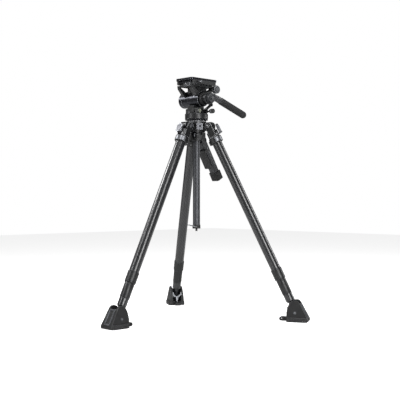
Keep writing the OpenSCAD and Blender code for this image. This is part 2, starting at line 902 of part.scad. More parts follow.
// Camera plate that slides between the jaws
module sliding_plate() {
    color("#4a4b4f")
        difference() {
            union() {
                block(-deck_half_x + jaw_w + run_gap, deck_half_x - jaw_w - run_gap,
                    -plate_half_y + 6, plate_half_y - 6, jaw_z + run_gap, plate_z + 1);
                translate([0, 0, plate_z])
                    round_plate(deck_half_x - 1, plate_half_y, plate_t, 12);
            }
            translate([0, 0, jaw_z - over])
                linear_extrude(height = 60)
                    rotate(90)
                        oval(62, 2 * stud_r + 0.8);
            translate([0, 0, jaw_z - over])
                linear_extrude(height = over + 8)
                    rotate(90)
                        oval(74, 19);
            for (s = [-1, 1])
                translate([s * 27, 0, plate_top - 1])
                    round_plate(11, plate_half_y - 16, 1 + over, 4);
        }
}

// Two rubber strips in the top of the plate
module plate_pads() {
    color("#141414")
        for (s = [-1, 1])
            translate([s * 27, 0, plate_top - 1])
                round_plate(11, plate_half_y - 16, 1, 4);
}

// Camera screw that slides in the plate's slot
module camera_screw() {
    color("#c9cacc")
        union() {
            translate([0, 0, jaw_z + 1.2])
                difference() {
                    cylinder(r = 8.5, h = 5);
                    block(-10, 10, -0.8, 0.8, -over, 1.6);
                }
            translate([0, 0, jaw_z + 5])
                cylinder(r = stud_r - 0.6, h = plate_top + stud_gap - jaw_z - 5 + 0.5);
            translate([0, 0, plate_top + stud_gap])
                cylinder(r = stud_r, h = stud_h - stud_gap);
        }
}

// Round metal knob that locks the sliding plate
module plate_knob() {
    color("#b5b7ba")
        translate([0, knob_y, knob_z])
            union() {
                x_bar(3, strut_high_x - 12, deck_half_x + 6);
                x_bar(knob_r - 1.2, deck_half_x + run_gap, deck_half_x + knob_t);
                x_bar(knob_r - 5, deck_half_x + knob_t - 1, deck_half_x + knob_t + 1.5);
                for (a = [0:15:345])
                    rotate([a, 0, 0])
                        x_bar(1.4, deck_half_x + 2, deck_half_x + knob_t - 1, knob_r - 1.4);
            }
}

// Oval button that frees the sliding plate
module release_button() {
    color("#8f9194")
        translate([deck_half_x - 4.5, -26, jaw_z + jaw_h / 2])
            rotate([0, 90, 0])
                rotate(90)
                    linear_extrude(height = 8)
                        oval(25.2, 8.2);
}

// Forked head of a leg that holds the hinge pin
module leg_head(i) {
    color("#77797c")
        down_leg(i)
            difference() {
                union() {
                    translate([0, 0, arm_end_r + 4])
                        cylinder(r = top_collar_r - 3, h = top_collar_s - arm_end_r - 4 + 6);
                    for (s = [-1, 1])
                        intersection() {
                            union() {
                                y_bar(cheek_r, min(s * cheek_in, s * cheek_out),
                                    max(s * cheek_in, s * cheek_out));
                                block(-cheek_r, cheek_r, min(s * cheek_in, s * cheek_out),
                                    max(s * cheek_in, s * cheek_out), 0, top_collar_s);
                            }
                            translate([0, 0, -40])
                                cylinder(r = top_collar_r + 1, h = 100);
                        }
                }
                y_bar(pin_r + pin_gap, -cheek_out - over, cheek_out + over);
                block(-top_collar_r - 2, latch_pin_x + 4, -neck_half - 1, neck_half + 1,
                    latch_pin_s - 8, latch_pin_s + 6);
                y_bar(2 + pin_gap, -neck_half - 6, neck_half + 6, latch_pin_x, latch_pin_s);
            }
}

// Ring that grips the top of the upper tube
module leg_collar(i) {
    color("#a9abad")
        down_leg(i)
            difference() {
                translate([0, 0, top_collar_s])
                    rotate_extrude()
                        polygon([
                            [upper_r - 4, 6], [top_collar_r - 3, 6], [top_collar_r - 3, 0],
                            [top_collar_r - 1, 0], [top_collar_r, 1.5],
                            [top_collar_r, top_collar_len - 3],
                            [top_collar_r - 2, top_collar_len], [upper_r, top_collar_len],
                            [upper_r, 10], [upper_r - 4, 10]
                        ]);
            }
}

// Oval latch on the outer side of the head that frees the hinge
module leg_latch(i) {
    color("#c2c4c6")
        down_leg(i)
            union() {
                translate([-top_collar_r - 1.5, 0, top_collar_s - latch_len / 2 - 5])
                    rotate([0, -90, 0])
                        linear_extrude(height = latch_t)
                            oval(latch_len, latch_w);
                translate([-top_collar_r - 1.5 - latch_t + 1, 0, top_collar_s - 9])
                    rotate([0, -90, 0])
                        linear_extrude(height = 5)
                            rotate(90)
                                oval(16, 5);
                y_bar(2, -neck_half - 5, neck_half + 5, latch_pin_x, latch_pin_s);
                block(-top_collar_r - 2, latch_pin_x, -neck_half, neck_half,
                    latch_pin_s - 2, latch_pin_s + 2);
            }
}

// Straight tube down a leg
module leg_pipe(r, s0, s1) {
    translate([0, 0, s0])
        difference() {
            cylinder(r = r, h = s1 - s0);
            translate([0, 0, -over])
                cylinder(r = r - tube_wall, h = s1 - s0 + 2 * over);
        }
}

// Upper tube of a leg
module leg_upper(i) {
    color("#34353a")
        down_leg(i)
            leg_pipe(upper_r, top_collar_s + 10, upper_end_s - 3);
}

// Collar on the lower end of the upper tube
module leg_joint(i) {
    color("#2b2c2f")
        down_leg(i)
            translate([0, 0, joint_s])
                rotate_extrude()
                    polygon([
                        [upper_r, 0], [joint_r - 1, 0], [joint_r, 1.5],
                        [joint_r, joint_len - 1.5], [joint_r - 1, joint_len],
                        [middle_r + tube_gap, joint_len], [middle_r + tube_gap, joint_len - 3],
                        [upper_r, joint_len - 3]
                    ]);
}

// Middle tube of a leg with its end sleeve
module leg_middle(i) {
    color("#3a3b40")
        down_leg(i)
            union() {
                leg_pipe(middle_r, middle_top_s, sleeve_s + sleeve_len - 2);
                translate([0, 0, sleeve_s])
                    rotate_extrude()
                        polygon([
                            [middle_r - 0.5, 0], [sleeve_r - 0.6, 0], [sleeve_r, 1],
                            [sleeve_r, sleeve_len - 1], [sleeve_r - 0.6, sleeve_len],
                            [lower_r + tube_gap, sleeve_len], [lower_r + tube_gap, sleeve_len - 5],
                            [middle_r - 0.5, sleeve_len - 5]
                        ]);
            }
}

// Lower tube of a leg with its end fitting and the ankle knuckle
module leg_lower(i) {
    color("#303136")
        down_leg(i)
            difference() {
                union() {
                    leg_pipe(lower_r, lower_top_s, fitting_s + 2);
                    translate([0, 0, fitting_s])
                        rotate_extrude()
                            polygon([
                                [0, 0], [fitting_r - 0.6, 0], [fitting_r, 1],
                                [fitting_r, fitting_len - 4], [fitting_r - 3, fitting_len],
                                [0, fitting_len]
                            ]);
                    translate([0, 0, neck_s - 1])
                        cylinder(r = neck_r, h = ankle_s - neck_s + 1);
                    y_bar(knuckle_r, -foot_slot + run_gap, foot_slot - run_gap, 0, ankle_s);
                }
                y_bar(ankle_pin_r + pin_gap, -foot_slot, foot_slot, 0, ankle_s);
            }
}

// Side outline of a foot, outwards along X and up along Y
module foot_outline() {
    polygon([
        [foot_in, 0], [foot_out - 4, 0], [foot_out, 4], [foot_out - 2, 12],
        [foot_out - 34, foot_h - 9], [foot_out - 39, foot_h - 3], [foot_out - 45, foot_h],
        [foot_in + 26, foot_h], [foot_in + 18, foot_h - 3], [foot_in + 10, foot_h - 12],
        [foot_in + 4, foot_h - 26], [foot_in, 34]
    ]);
}

// Rubber foot with two cheeks round the ankle
module foot_boot(i) {
    color("#1b1b1c")
        towards_leg(i)
            difference() {
                union() {
                    difference() {
                        rotate([90, 0, 0])
                            translate([0, 0, -foot_half])
                                linear_extrude(height = 2 * foot_half)
                                    foot_outline();
                        for (s = [-1, 1])
                            translate([0, s * foot_half, sole_t])
                                rotate([s * 5, 0, 0])
                                    block(foot_in - over, foot_out + over,
                                        s > 0 ? 0 : -20, s > 0 ? 20 : 0, 0, 80);
                    }
                    intersection() {
                        translate([(foot_in + foot_out) / 2, 0, 0])
                            round_plate(foot_len / 2, sole_half, sole_t, 14);
                        rotate([90, 0, 0])
                            translate([0, 0, -sole_half])
                                linear_extrude(height = 2 * sole_half)
                                    foot_outline();
                    }
                    block(foot_in - tab_len + 8, foot_in + 2, -11, 11, 2, 16);
                    y_bar(7, -11, 11, foot_in - tab_len + 8, 9);
                }
                block(foot_in - over, ankle_r + knuckle_r + 4, -foot_slot, foot_slot,
                    ankle_z - knuckle_r - 5, foot_h + 30);
                y_bar(ankle_pin_r, -sole_half, sole_half, ankle_r, ankle_z);
                y_bar(3.5, -12, 12, foot_in - tab_len + 9, 9);
            }
}

// Ankle pin and the metal strap on the inner side of a foot
module foot_clip(i) {
    color("#b4b6b8")
        towards_leg(i)
            union() {
                y_bar(ankle_pin_r, -foot_half + 2, foot_half - 2, ankle_r, ankle_z);
                translate([foot_in + 1, 0, 0])
                    rotate([90, 0, 90])
                        linear_extrude(height = 2.4)
                            polygon([
                                [-3.5, ankle_z - knuckle_r - 5], [3.5, ankle_z - knuckle_r - 5],
                                [3.5, 33], [foot_slot, 44], [foot_slot, 56],
                                [foot_slot - 4, 56], [foot_slot - 4, 47], [0, 37],
                                [-foot_slot + 4, 47], [-foot_slot + 4, 56],
                                [-foot_slot, 56], [-foot_slot, 44], [-3.5, 33]
                            ]);
            }
}

module leg_1_head() { leg_head(0); }
module leg_1_collar() { leg_collar(0); }
module leg_1_latch() { leg_latch(0); }
module leg_1_upper() { leg_upper(0); }
module leg_1_joint() { leg_joint(0); }
module leg_1_middle() { leg_middle(0); }
module leg_1_lower() { leg_lower(0); }
module foot_1_boot() { foot_boot(0); }
module foot_1_clip() { foot_clip(0); }
module leg_2_head() { leg_head(1); }
module leg_2_collar() { leg_collar(1); }
module leg_2_latch() { leg_latch(1); }
module leg_2_upper() { leg_upper(1); }
module leg_2_joint() { leg_joint(1); }
module leg_2_middle() { leg_middle(1); }
module leg_2_lower() { leg_lower(1); }
module foot_2_boot() { foot_boot(1); }
module foot_2_clip() { foot_clip(1); }
module leg_3_head() { leg_head(2); }
module leg_3_collar() { leg_collar(2); }
module leg_3_latch() { leg_latch(2); }
module leg_3_upper() { leg_upper(2); }
module leg_3_joint() { leg_joint(2); }
module leg_3_middle() { leg_middle(2); }
module leg_3_lower() { leg_lower(2); }
module foot_3_boot() { foot_boot(2); }
module foot_3_clip() { foot_clip(2); }

crown();
hinge_pins();
accessory_block();
column_clamp();
clamp_lever();
handle_arm();
handle_tip();
handle_trigger();
column_tube();
column_cap();
column_hook();
head_base();
pan_housing();
pan_bearing();
level_vial();
pan_lock_knob();
tilt_lock_lever();
tilt_drum();
drum_sides();
tilt_axle();
tilt_cradle();
drag_ring();
drag_button();
rosette();
bar_bolt();
bar_clamp();
bar_grip();
clamp_platform();
sliding_plate();
plate_pads();
camera_screw();
plate_knob();
release_button();
leg_1_head();
leg_1_collar();
leg_1_latch();
leg_1_upper();
leg_1_joint();
leg_1_middle();
leg_1_lower();
foot_1_boot();
foot_1_clip();
leg_2_head();
leg_2_collar();
leg_2_latch();
leg_2_upper();
leg_2_joint();
leg_2_middle();
leg_2_lower();
foot_2_boot();
foot_2_clip();
leg_3_head();
leg_3_collar();
leg_3_latch();
leg_3_upper();
leg_3_joint();
leg_3_middle();
leg_3_lower();
foot_3_boot();
foot_3_clip();
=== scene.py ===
import json
import math
import bmesh
import bpy
from mathutils import Matrix, Vector


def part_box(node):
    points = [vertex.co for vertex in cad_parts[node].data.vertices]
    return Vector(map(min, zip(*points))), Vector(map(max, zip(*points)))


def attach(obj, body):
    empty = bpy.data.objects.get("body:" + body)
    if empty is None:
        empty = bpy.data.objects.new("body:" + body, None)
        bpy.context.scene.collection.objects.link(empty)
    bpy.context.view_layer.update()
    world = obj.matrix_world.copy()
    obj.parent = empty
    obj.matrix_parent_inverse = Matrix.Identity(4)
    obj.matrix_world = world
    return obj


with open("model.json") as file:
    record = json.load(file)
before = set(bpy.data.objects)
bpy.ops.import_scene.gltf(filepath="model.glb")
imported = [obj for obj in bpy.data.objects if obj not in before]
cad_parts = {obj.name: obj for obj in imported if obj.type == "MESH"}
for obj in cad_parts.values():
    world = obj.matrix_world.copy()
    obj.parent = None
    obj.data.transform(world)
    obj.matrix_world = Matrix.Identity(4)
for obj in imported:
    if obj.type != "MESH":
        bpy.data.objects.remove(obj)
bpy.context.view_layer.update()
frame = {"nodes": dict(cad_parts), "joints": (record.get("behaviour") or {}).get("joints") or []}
nodes = frame["nodes"]

# Camera.
# A 36 mm sensor behind a 71.7 mm lens, level, 3.12 m from the column and about half the tripod's
# height above the floor, so that it looks up at the head and down on the feet.
camera_data = bpy.data.cameras.new("camera")
camera_data.sensor_width = 36.0
camera_data.lens = 71.67
camera = bpy.data.objects.new("camera", camera_data)
bpy.context.scene.collection.objects.link(camera)
camera.location = (2.2606, -2.1484, 0.4579)
camera.rotation_euler = Vector((-0.7218, 0.6921, 0.0)).to_track_quat("-Z", "Y").to_euler()
bpy.context.scene.camera = camera


# Studio.
# A plain white sweep. Tall soft boxes stand at the right front, the left and the right back, so that
# dark round tubes show a bright line down each side and stay near black between. Two small ones hang
# high and draw the lines on the drum and the plate. The surround and the floor look white to the
# camera, but the surround lights the part only weakly, which keeps its blacks deep.
def linear(hex_colour):
    """The linear colour of an sRGB hex value, as Blender's sockets take it."""
    channels = [int(hex_colour[i:i + 2], 16) / 255 for i in (1, 3, 5)]
    flat = [c / 12.92 if c <= 0.04045 else ((c + 0.055) / 1.055) ** 2.4 for c in channels]
    return (*flat, 1.0)


def add(tree, kind, inputs=(), **settings):
    """Adds one shader node with its settings, and links or sets its inputs."""
    made = tree.nodes.new("ShaderNode" + kind)
    for name, value in settings.items():
        setattr(made, name, value)
    for name, value in dict(inputs).items():
        if isinstance(value, bpy.types.NodeSocket):
            tree.links.new(value, made.inputs[name])
        else:
            made.inputs[name].default_value = value
    return made


def soft_box(name, place, aim, width, height, watts):
    """Hangs a rectangular area light at a place, facing aim."""
    light = bpy.data.lights.new(name, "AREA")
    light.shape = "RECTANGLE"
    light.size = width
    light.size_y = height
    light.energy = watts
    holder = bpy.data.objects.new(name, light)
    holder.location = place
    holder.rotation_euler = (Vector(aim) - Vector(place)).to_track_quat("-Z", "Y").to_euler()
    bpy.context.scene.collection.objects.link(holder)


bpy.context.scene.view_settings.view_transform = "Standard"
surround = bpy.data.worlds.new("white surround")
surround.use_nodes = True
sky = surround.node_tree
sky.nodes.clear()
seen = add(sky, "Background", {"Color": linear("#ffffff"), "Strength": 1.0})
felt = add(sky, "Background", {"Color": linear("#ffffff"), "Strength": 0.07})
direct = add(sky, "LightPath")
chosen = add(sky, "MixShader", {0: direct.outputs["Is Camera Ray"], 1: felt.outputs[0], 2: seen.outputs[0]})
add(sky, "OutputWorld", {"Surface": chosen.outputs[0]})
bpy.context.scene.world = surround

soft_box("strip_box", (2.85, -1.0, 0.9), (0, 0, 0.5), 0.8, 2.6, 78)
soft_box("left_box", (-0.6, -2.8, 1.4), (0, 0, 0.6), 0.4, 2.2, 30)
soft_box("right_box", (1.2, 2.6, 1.5), (0, 0, 0.6), 0.4, 2.2, 34)
soft_box("high_box", (-1.7, -1.3, 1.93), (0, 0, 0.87), 0.9, 0.4, 26)
soft_box("top_box", (0.7, -0.9, 2.5), (0, 0, 0.8), 0.6, 0.6, 26)

bpy.ops.mesh.primitive_plane_add(size=14.0, location=(0, 0, -0.0005))
floor = bpy.context.object
floor.name = "floor"
floor_paint = bpy.data.materials.new("pale matt sweep")
floor_paint.use_nodes = True
floor_tree = floor_paint.node_tree
floor_shader = floor_tree.nodes["Principled BSDF"]
floor_shader.inputs["Base Color"].default_value = linear("#ffffff")
floor_shader.inputs["Roughness"].default_value = 1.0
floor_shader.inputs["Emission Color"].default_value = linear("#ffffff")
seen_floor = add(floor_tree, "LightPath")
glow = add(floor_tree, "Math", {0: seen_floor.outputs["Is Camera Ray"], 1: 0.8}, operation="MULTIPLY")
floor_tree.links.new(glow.outputs[0], floor_shader.inputs["Emission Strength"])
floor.data.materials.append(floor_paint)


# Crown and column clamp.
# Magnesium castings: the hub with its three arms, and the split collar under it. Both are blasted
# and powder coated satin black, which gives a fine orange peel and slightly bare corners.
def shader_of(name):
    """A new material, its node tree and its Principled shader."""
    paint = bpy.data.materials.new(name)
    paint.use_nodes = True
    return paint, paint.node_tree, paint.node_tree.nodes["Principled BSDF"]


def grain(tree, size, detail=3.0, stretch=(1, 1, 1)):
    """A noise pattern whose grain is size metres across, in the object's own space."""
    place = add(tree, "TexCoord")
    spread = add(tree, "Mapping", {"Vector": place.outputs["Object"], "Scale": stretch})
    noise = add(tree, "TexNoise", {"Vector": spread.outputs[0], "Scale": 1 / size, "Detail": detail})
    return noise.outputs["Fac"]


def two_tones(tree, pattern, low, high, dark, light):
    """A colour that goes from dark to light as a pattern goes from low to high."""
    spread = add(tree, "MapRange", {"Value": pattern, "From Min": low, "From Max": high})
    tones = add(tree, "Mix", {0: spread.outputs[0], 6: linear(dark), 7: linear(light)}, data_type="RGBA")
    return tones.outputs[2]


def bare_corner(tree, radius):
    """1 on a sharp corner and 0 on a flat face."""
    rounded = add(tree, "Bevel", {"Radius": radius}, samples=4)
    flat = add(tree, "NewGeometry")
    match = add(tree, "VectorMath", {0: rounded.outputs[0], 1: flat.outputs["Normal"]},
                operation="DOT_PRODUCT")
    return add(tree, "MapRange", {"Value": match.outputs["Value"], "From Min": 0.99,
                                  "From Max": 0.8}).outputs[0]


def worn_corners(tree, shader, body, corner, radius):
    """Gives a material the colour body, and the colour corner on its sharp corners."""
    worn = add(tree, "Mix", {0: bare_corner(tree, radius), 6: body, 7: linear(corner)}, data_type="RGBA")
    tree.links.new(worn.outputs[2], shader.inputs["Base Color"])


def uneven_gloss(tree, shader, pattern, low, high):
    """Lets a pattern move a material's roughness between low and high."""
    gloss = add(tree, "MapRange", {"Value": pattern, "To Min": low, "To Max": high})
    tree.links.new(gloss.outputs[0], shader.inputs["Roughness"])


def raised(tree, shader, pattern, strength, depth):
    """Lets a pattern raise a material's surface, by depth metres at full strength."""
    relief = add(tree, "Bump", {"Height": pattern, "Strength": strength, "Distance": depth})
    tree.links.new(relief.outputs[0], shader.inputs["Normal"])


def satin_coat(name, dark, light, corner, rough, edge=0.0011):
    """Powder coat: a fine peel in the gloss, and corners worn lighter."""
    paint, tree, shader = shader_of(name)
    body = two_tones(tree, grain(tree, 0.03), 0.35, 0.65, dark, light)
    worn_corners(tree, shader, body, corner, edge)
    # The peel is 0.6 mm across on the real coat and is drawn twice as wide, so that it shows.
    peel = grain(tree, 0.0012, 2.0)
    uneven_gloss(tree, shader, peel, rough - 0.07, rough + 0.09)
    raised(tree, shader, peel, 0.25, 0.0002)
    return paint


# A CAD corner that turns more than this is a real edge, and vertices nearer than the gap are one.
cad_edge = math.radians(28)
cad_gap = 2e-6


def tidy_group():
    """Joins the corners of a CAD mesh and shades it smooth up to its real edges."""
    group = bpy.data.node_groups.new("joined and smooth", "GeometryNodeTree")
    group.interface.new_socket("Geometry", in_out="INPUT", socket_type="NodeSocketGeometry")
    group.interface.new_socket("Geometry", in_out="OUTPUT", socket_type="NodeSocketGeometry")
    start = group.nodes.new("NodeGroupInput")
    join = group.nodes.new("GeometryNodeMergeByDistance")
    join.inputs["Distance"].default_value = cad_gap
    angle = group.nodes.new("GeometryNodeInputMeshEdgeAngle")
    sharp = group.nodes.new("FunctionNodeCompare")
    sharp.inputs["B"].default_value = cad_edge
    normals = group.nodes.new("GeometryNodeSetMeshNormal")
    normals.inputs["Remove Custom"].default_value = True
    end = group.nodes.new("NodeGroupOutput")
    group.links.new(start.outputs[0], join.inputs["Geometry"])
    group.links.new(join.outputs[0], normals.inputs["Mesh"])
    group.links.new(angle.outputs["Unsigned Angle"], sharp.inputs["A"])
    group.links.new(sharp.outputs[0], normals.inputs["Edge Sharpness"])
    group.links.new(normals.outputs[0], end.inputs[0])
    return group


joined_smooth = tidy_group()


def finish_node(name, paint, edge):
    """Gives a CAD node its real material, and rounds its corners to a radius of edge metres."""
    piece = nodes[name]
    piece.data.materials.clear()
    piece.data.materials.append(paint)
    joined = piece.modifiers.new("joined", "NODES")
    joined.node_group = joined_smooth
    if edge:
        rounding = piece.modifiers.new("rounded corners", "BEVEL")
        rounding.limit_method = "ANGLE"
        rounding.angle_limit = cad_edge
        rounding.width = edge
        rounding.segments = 2
        rounding.use_clamp_overlap = True
        piece.modifiers.new("even shading", "WEIGHTED_NORMAL").keep_sharp = True


black_coat = satin_coat("satin black powder coat", "#0e0f10", "#161718", "#55565a", 0.38)
for name in ("crown", "column_clamp"):
    finish_node(name, black_coat, 0.0009)


# Leg heads and collars.
# Forked heads and clamping collars in die-cast alloy, coated black, with the heads' edges cut bright.
# A satin nickel plated half shell covers each collar's outer side. The black coat left on its inner
# side stands as painted shade. The hinge pins are turned steel, and an alloy block for accessories is
# bolted to the crown.
def satin_metal(name, dark, light, corner, rough):
    """Plated or anodised metal: cloudy gloss, fine turning scratches and bright corners."""
    paint, tree, shader = shader_of(name)
    shader.inputs["Metallic"].default_value = 1.0
    body = two_tones(tree, grain(tree, 0.012, 4.0), 0.35, 0.65, dark, light)
    worn_corners(tree, shader, body, corner, 0.001)
    # Tumbling marks are 0.2 mm wide on the real part and are drawn three times as wide, so that they show.
    marks = grain(tree, 0.0006, 3.0, (1, 1, 0.15))
    uneven_gloss(tree, shader, marks, rough - 0.03, rough + 0.05)
    raised(tree, shader, marks, 0.04, 0.0001)
    return paint


nickel = satin_metal("satin nickel plate", "#6d6f73", "#8d8f93", "#c9cbce", 0.36)
bright_steel = satin_metal("turned steel", "#9fa1a4", "#bdbfc2", "#e6e7e8", 0.24)
dark_anodised = satin_metal("dark anodised aluminium", "#26272a", "#313236", "#77797d", 0.34)
edged_coat = satin_coat("black coat with diamond-cut edges", "#101112", "#191a1b", "#c4c6c9", 0.38, 0.0026)
finish_node("hinge_pins", bright_steel, 0.0004)
dull_alloy = satin_metal("bead-blasted alloy", "#4a4b4e", "#626367", "#a9abaf", 0.5)
finish_node("accessory_block", dull_alloy, 0.0006)


def to_place(along, at):
    """The matrix that puts something at a place and turns its +Z to run along a direction."""
    return Matrix.Translation(Vector(at)) @ Vector(along).to_track_quat("Z", "Y").to_matrix().to_4x4()


# On a made piece a corner over the first angle is rounded, and one over the second is shaded sharp.
round_over, sharp_over = math.radians(30), math.radians(32)


def put_in(name, mesh_data, paint, body, place=None, edge=0.0):
    """Puts a finished bmesh into the scene at its place, on its body, with its material."""
    data = bpy.data.meshes.new(name)
    bmesh.ops.recalc_face_normals(mesh_data, faces=mesh_data.faces)
    mesh_data.to_mesh(data)
    mesh_data.free()
    data.shade_smooth()
    data.set_sharp_from_angle(angle=sharp_over)
    data.materials.append(paint)
    piece = bpy.data.objects.new(name, data)
    bpy.context.scene.collection.objects.link(piece)
    if place is not None:
        piece.matrix_world = place
    if edge:
        rounding = piece.modifiers.new("rounded corners", "BEVEL")
        rounding.limit_method = "ANGLE"
        rounding.angle_limit = round_over
        rounding.width = edge
        rounding.segments = 3
        piece.modifiers.new("even shading", "WEIGHTED_NORMAL").keep_sharp = True
    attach(piece, body)
    return piece


def circle(radius, steps):
    """Evenly spaced outline points on a circle."""
    angles = [2 * math.pi * k / steps for k in range(steps)]
    return [(radius * math.cos(a), radius * math.sin(a)) for a in angles]


def turned(shape, profile, steps=48, place=None):
    """Adds a turned solid about +Z to a bmesh. The profile is (radius, height) from end to end."""
    place = place or Matrix.Identity(4)
    rings = []
    for radius, height in profile:
        points = circle(radius, steps) if radius > 1e-7 else [(0, 0)]
        rings.append([shape.verts.new(place @ Vector((x, y, height))) for x, y in points])
    for low, high in zip(rings, rings[1:]):
        for k in range(steps):
            n = (k + 1) % steps
            if len(low) == 1 and len(high) > 1:
                shape.faces.new((low[0], high[k], high[n]))
            elif len(high) == 1 and len(low) > 1:
                shape.faces.new((low[n], low[k], high[0]))
            elif len(low) > 1:
                shape.faces.new((low[k], low[n], high[n], high[k]))


def extruded(shape, outline, low, high, place=None):
    """Adds a flat outline, pulled from low to high along +Z, to a bmesh."""
    place = place or Matrix.Identity(4)
    ends = [[shape.verts.new(place @ Vector((x, y, z))) for x, y in outline] for z in (low, high)]
    shape.faces.new(list(reversed(ends[0])))
    shape.faces.new(ends[1])
    for k in range(len(outline)):
        n = (k + 1) % len(outline)
        shape.faces.new((ends[0][k], ends[0][n], ends[1][n], ends[1][k]))


def rounded_outline(half_x, half_y, radius, steps=6):
    """A rectangle with round corners, as outline points."""
    points = []
    for quarter, (sx, sy) in enumerate(((1, 1), (-1, 1), (-1, -1), (1, -1))):
        for k in range(steps + 1):
            a = math.pi / 2 * (quarter + k / steps)
            points.append((sx * (half_x - radius) + radius * math.cos(a),
                           sy * (half_y - radius) + radius * math.sin(a)))
    return points


def cap_screw(shape, place, radius, height):
    """Adds a socket cap screw's head to a bmesh: a rounded rim and a six-sided socket."""
    rim = height * 0.25
    mouth = radius * 0.52
    turned(shape, [(0, 0), (radius, 0), (radius, height - rim), (radius - rim * 0.4, height - rim * 0.4),
                   (radius - rim, height), (mouth, height)], 24, place)
    socket = [shape.verts.new(place @ Vector((x, y, height))) for x, y in circle(mouth, 6)]
    deep = [shape.verts.new(place @ Vector((x, y, height * 0.45))) for x, y in circle(radius * 0.48, 6)]
    for k in range(6):
        n = (k + 1) % 6
        shape.faces.new((socket[k], socket[n], deep[n], deep[k]))
    shape.faces.new(deep)


joints = {joint["name"]: joint for joint in frame["joints"]}


def leg_frame(n):
    """The place of leg n: +Z runs down it from the hinge, +X points to its inner side."""
    down = Vector(joints[f"leg_{n}_middle_slide"]["axis"]).normalized()
    side = -Vector(joints[f"leg_{n}_spread"]["axis"]).normalized()
    turn = Matrix((side.cross(down), side, down)).transposed().to_4x4()
    return Matrix.Translation(Vector(joints[f"leg_{n}_spread"]["pos_m"])) @ turn


def reach(n, name):
    """How far down leg n a CAD node starts and ends."""
    back = leg_frame(n).inverted()
    depths = [(back @ v.co).z for v in nodes[name].data.vertices]
    return min(depths), max(depths)


def ring_band(shape, radius, inner, low, high, soft, place=None):
    """Adds a ring with rounded corners to a bmesh."""
    cut = soft * 0.3
    turned(shape, [(inner, low), (radius - soft, low), (radius - cut, low + cut), (radius, low + soft),
                   (radius, high - soft), (radius - cut, high - cut), (radius - soft, high), (inner, high),
                   (inner, low)], 48, place)


collar_r = 0.025
shell_out, shell_in = collar_r + 0.0011, collar_r - 0.0012
for n in (1, 2, 3):
    finish_node(f"leg_{n}_head", edged_coat, 0.0014)
    # The collar's black coat shows on its inner side as painted shade.
    finish_node(f"leg_{n}_collar", black_coat, 0.0005)
    top, bottom = reach(n, f"leg_{n}_collar")
    # The collar's clamp screw stands in a boss on its inner side.
    screw_depth = (top + bottom) / 2 + 0.003
    boss_half = 0.0085
    boss = bmesh.new()
    extruded(boss, rounded_outline(0.0045, boss_half, 0.002), collar_r - 0.003, collar_r + 0.0035,
             to_place((1, 0, 0), (0, 0, screw_depth)))
    put_in(f"collar_{n}_boss", boss, black_coat, f"leg_{n}", leg_frame(n), 0.0008)
    screws = bmesh.new()
    for side in (-1, 1):
        at = (collar_r + 0.0005, side * boss_half, screw_depth)
        cap_screw(screws, to_place((0, side, 0), at), 0.0026, 0.002)
    put_in(f"collar_{n}_screws", screws, bright_steel, f"leg_{n}", leg_frame(n))
    # The plated half shell covers the collar's outer side, and the inner side is left black as painted shade.
    shell = bmesh.new()
    arc = [math.radians(98 + 164 * k / 20) for k in range(21)]
    band = [(shell_out * math.cos(t), shell_out * math.sin(t)) for t in arc]
    band += [(shell_in * math.cos(t), shell_in * math.sin(t)) for t in reversed(arc)]
    extruded(shell, band, top + 0.0035, bottom - 0.0028)
    put_in(f"collar_{n}_shell", shell, nickel, f"leg_{n}", leg_frame(n), 0.0005)


# Leg latches.
# A pressed oval plate with a rolled rim, hooked on a cross pin in each leg head. It is satin nickel
# plated steel with a grey glass-filled nylon inlay.
def moulded_nylon(name, dark, light, rough):
    """Glass-filled nylon: a fine spark-eroded grain and faint flow clouds."""
    paint, tree, shader = shader_of(name)
    body = two_tones(tree, grain(tree, 0.02), 0.35, 0.65, dark, light)
    tree.links.new(body, shader.inputs["Base Color"])
    shader.inputs["Specular IOR Level"].default_value = 0.45
    # The grain is 0.3 mm on the real part and is drawn at 0.9 mm, so that it shows.
    spark = grain(tree, 0.0009, 2.0)
    uneven_gloss(tree, shader, spark, rough - 0.08, rough + 0.08)
    raised(tree, shader, spark, 0.3, 0.0002)
    return paint


black_nylon = moulded_nylon("black glass-filled nylon", "#121213", "#1a1a1b", 0.52)
grey_nylon = moulded_nylon("grey glass-filled nylon", "#77777d", "#8c8c93", 0.45)


def oval_outline(length, width, steps=14):
    """An oval with straight sides, long along X, as outline points."""
    points = []
    for end in (1, -1):
        for k in range(steps + 1):
            a = math.pi * k / steps - end * math.pi / 2
            points.append((end * (length - width) / 2 + width / 2 * math.cos(a), width / 2 * math.sin(a)))
    return points


def stacked(shape, layers, place):
    """Joins outlines of equal point counts, each at its height, into a closed solid."""
    rings = [[shape.verts.new(place @ Vector((x, y, z))) for x, y in outline] for outline, z in layers]
    for low, high in zip(rings, rings[1:]):
        for k in range(len(low)):
            n = (k + 1) % len(low)
            shape.faces.new((low[k], low[n], high[n], high[k]))
    shape.faces.new(list(reversed(rings[0])))
    shape.faces.new(rings[-1])


def stepped_oval(shape, length, width, steps, place):
    """Adds an oval solid to a bmesh. Each step is (how much smaller, height)."""
    stacked(shape, [(oval_outline(length - less, width - less), height) for less, height in steps], place)


